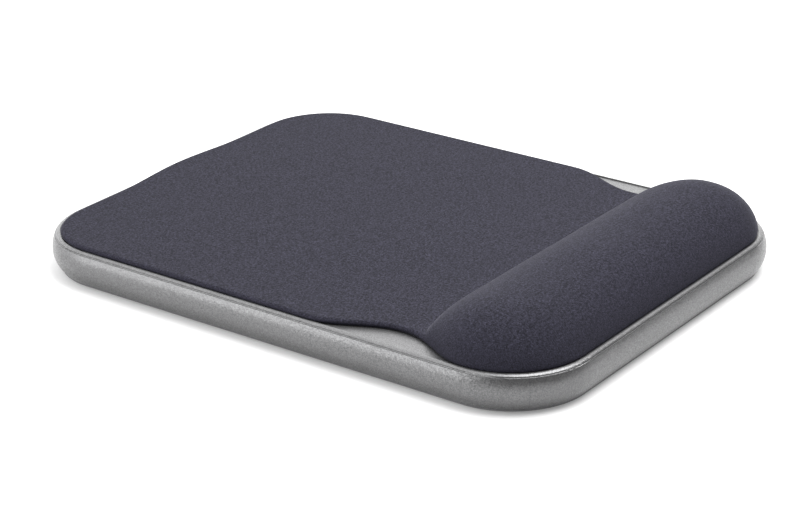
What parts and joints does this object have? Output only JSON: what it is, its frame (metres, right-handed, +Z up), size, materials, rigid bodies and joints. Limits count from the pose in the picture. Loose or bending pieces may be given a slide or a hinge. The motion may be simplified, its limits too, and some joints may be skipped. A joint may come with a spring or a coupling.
{
  "type": "gel mouse platform with wrist rest",
  "caption": "Desk mousing platform with a grey rounded base, a padded knit-fabric surface with curved side bays and a raised gel wrist roll along the user's edge.",
  "frame": {"origin": "on the table plane, under the centre of the platform's outline", "axes": "+X to the user's right, +Y away from the user (the wrist roll is at -Y), +Z up"},
  "size_m": [0.2104, 0.2752, 0.0355],
  "materials": {
    "platform_paint": "moulded plastic with fine-flake silver-grey paint under a satin clear coat",
    "cover_plastic": "dark moulded plastic, fine spark texture",
    "screw_steel": "zinc-plated steel",
    "foot_rubber": "matte black non-slip rubber",
    "adhesive": "double-sided foam tape",
    "backer_plastic": "stiff smooth sheet",
    "foam": "fine closed-cell foam",
    "tray_plastic": "semi-rigid formed sheet",
    "gel_film": "clear formed film",
    "gel": "soft translucent gel",
    "knit_fabric": "fine heathered charcoal knit with a soft grazing sheen"
  },
  "bodies": {
    "root": {"base_shell": "platform_paint", "bottom_cover": "cover_plastic", "cover_screws": "screw_steel", "front_feet": "foot_rubber", "rear_feet": "foot_rubber", "foot_adhesive": "adhesive", "deck_adhesive": "adhesive", "pad_backer": "backer_plastic", "pad_foam": "foam", "gel_tray": "tray_plastic", "gel_film_lower": "gel_film", "gel_core": "gel", "gel_film_upper": "gel_film", "wrist_foam": "foam", "fabric_cover": "knit_fabric"}
  },
  "joints": []
}
